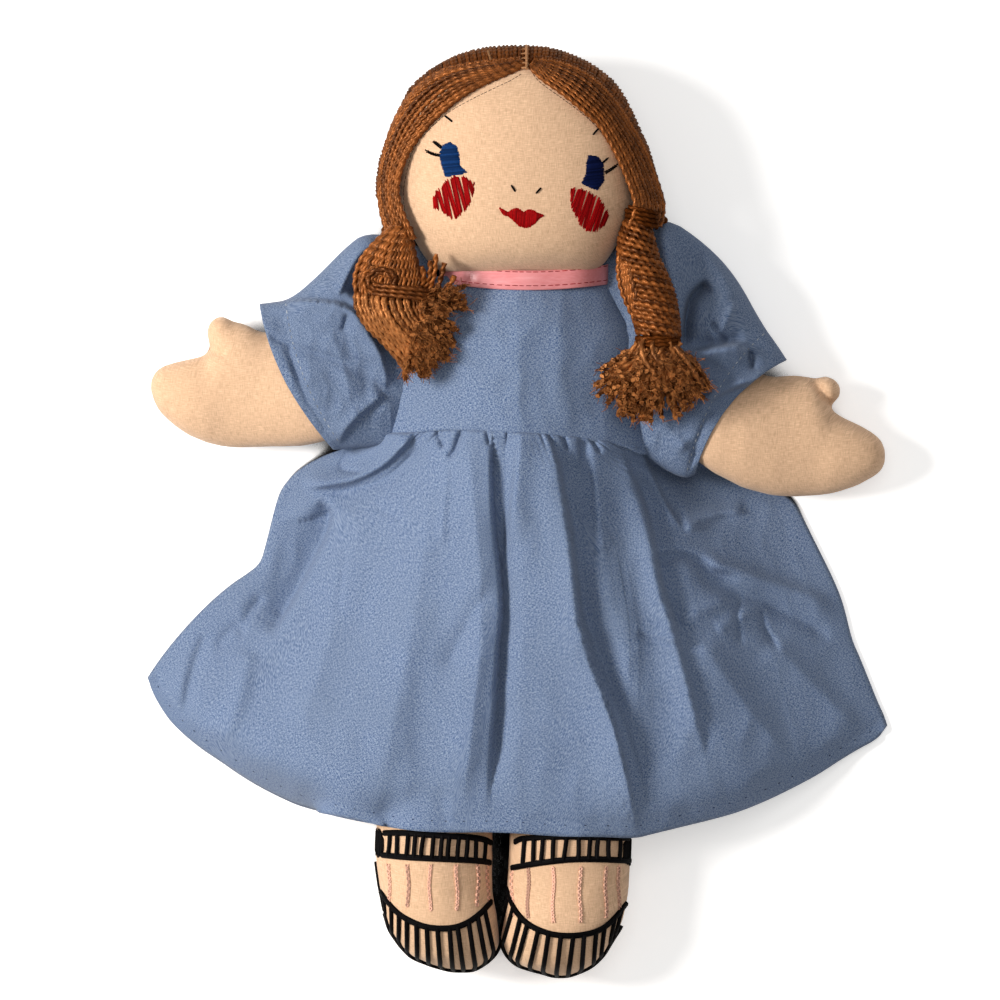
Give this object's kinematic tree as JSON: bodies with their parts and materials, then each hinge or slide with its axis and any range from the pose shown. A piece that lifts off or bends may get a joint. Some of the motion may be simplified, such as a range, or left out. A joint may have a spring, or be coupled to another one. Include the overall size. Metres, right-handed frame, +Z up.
{
  "type": "rag doll",
  "caption": "Stuffed cloth rag doll with yarn pigtails, an embroidered face and shoes and a gathered cotton dress, with head, arms and legs that turn at their seams.",
  "frame": {"origin": "on the floor under the middle of the doll as it lies on its back", "axes": "+Y towards the head, +X towards the doll's left, +Z up, the way its chest and face point"},
  "size_m": [0.2782, 0.352, 0.0611],
  "materials": {
    "muslin": "matt woven cotton",
    "filling": "loose fibre",
    "chambray": "matt woven cotton",
    "satin": "satin weave",
    "yarn": "two-ply yarn",
    "dark_yarn": "two-ply yarn",
    "blue_floss": "satin-stitch floss",
    "black_floss": "satin-stitch floss",
    "red_floss": "satin-stitch floss"
  },
  "bodies": {
    "torso": {"torso_cover": "muslin", "torso_stuffing": "filling", "bodice_front": "chambray", "bodice_back": "chambray", "neck_ribbon": "satin", "skirt": "chambray", "right_sleeve": "chambray", "left_sleeve": "chambray"},
    "head": {"head_cover": "muslin", "head_stuffing": "filling", "right_front_hair": "yarn", "left_front_hair": "yarn", "back_hair": "dark_yarn", "parting_stitches": "dark_yarn", "right_eye": "blue_floss", "left_eye": "blue_floss", "right_brow": "black_floss", "left_brow": "black_floss", "right_nose_stitch": "black_floss", "left_nose_stitch": "black_floss", "mouth": "red_floss", "right_cheek": "red_floss", "left_cheek": "red_floss"},
    "right_arm": {"right_arm_cover": "muslin", "right_arm_stuffing": "filling"},
    "left_arm": {"left_arm_cover": "muslin", "left_arm_stuffing": "filling"},
    "right_leg": {"right_leg_cover": "muslin", "right_leg_stuffing": "filling", "right_shoe_strap": "black_floss", "right_shoe_toe": "black_floss"},
    "left_leg": {"left_leg_cover": "muslin", "left_leg_stuffing": "filling", "left_shoe_strap": "black_floss", "left_shoe_toe": "black_floss"},
    "right_tie": {"right_pigtail_tie": "dark_yarn"},
    "left_tie": {"left_pigtail_tie": "dark_yarn"},
    "right_pigtail": {"right_pigtail": "yarn", "right_tassel_tie": "dark_yarn", "right_tassel": "yarn"},
    "left_pigtail": {"left_pigtail": "yarn", "left_tassel_tie": "dark_yarn", "left_tassel": "yarn"}
  },
  "joints": [
    {"name": "neck_nod", "type": "hinge", "parent": "torso", "child": "head", "pos_m": [0, 0.088, 0.0248], "axis": [1, 0, 0], "range_deg": [-15, 20], "deforming": ["neck_ribbon"]},
    {"name": "right_tie_turn", "type": "hinge", "parent": "head", "child": "right_tie", "pos_m": [-0.0455, 0.1025, 0.042], "axis": [1, 0, 0], "range_deg": [-20, 15]},
    {"name": "left_tie_turn", "type": "hinge", "parent": "head", "child": "left_tie", "pos_m": [0.0455, 0.11, 0.0455], "axis": [1, 0, 0], "range_deg": [-20, 15]},
    {"name": "right_pigtail_swing", "type": "hinge", "parent": "right_tie", "child": "right_pigtail", "pos_m": [-0.0455, 0.1025, 0.042], "axis": [0, 0, 1], "range_deg": [-30, 0]},
    {"name": "left_pigtail_swing", "type": "hinge", "parent": "left_tie", "child": "left_pigtail", "pos_m": [0.0455, 0.11, 0.0455], "axis": [0, 0, 1], "range_deg": [0, 30]},
    {"name": "right_shoulder", "type": "hinge", "parent": "torso", "child": "right_arm", "pos_m": [-0.0476, 0.05, 0.0248], "axis": [0, 1, 0], "range_deg": [-40, 90], "deforming": ["right_sleeve", "right_pigtail", "right_tassel_tie", "right_tassel"]},
    {"name": "left_shoulder", "type": "hinge", "parent": "torso", "child": "left_arm", "pos_m": [0.0476, 0.05, 0.0248], "axis": [0, -1, 0], "range_deg": [-40, 90], "deforming": ["left_sleeve", "left_pigtail", "left_tassel_tie", "left_tassel"]},
    {"name": "left_hip", "type": "hinge", "parent": "torso", "child": "left_leg", "pos_m": [0.0205, -0.0333, 0.0248], "axis": [-1, 0, 0], "range_deg": [-20, 90], "deforming": ["skirt"]},
    {"name": "right_hip", "type": "hinge", "parent": "torso", "child": "right_leg", "pos_m": [-0.0205, -0.0333, 0.0248], "axis": [-1, 0, 0], "range_deg": [-20, 90]}
  ],
  "couplings": [
    {"joint": "right_hip", "follows": "left_hip", "ratio": 1},
    {"joint": "right_tie_turn", "follows": "neck_nod", "ratio": -1},
    {"joint": "left_tie_turn", "follows": "neck_nod", "ratio": -1}
  ]
}
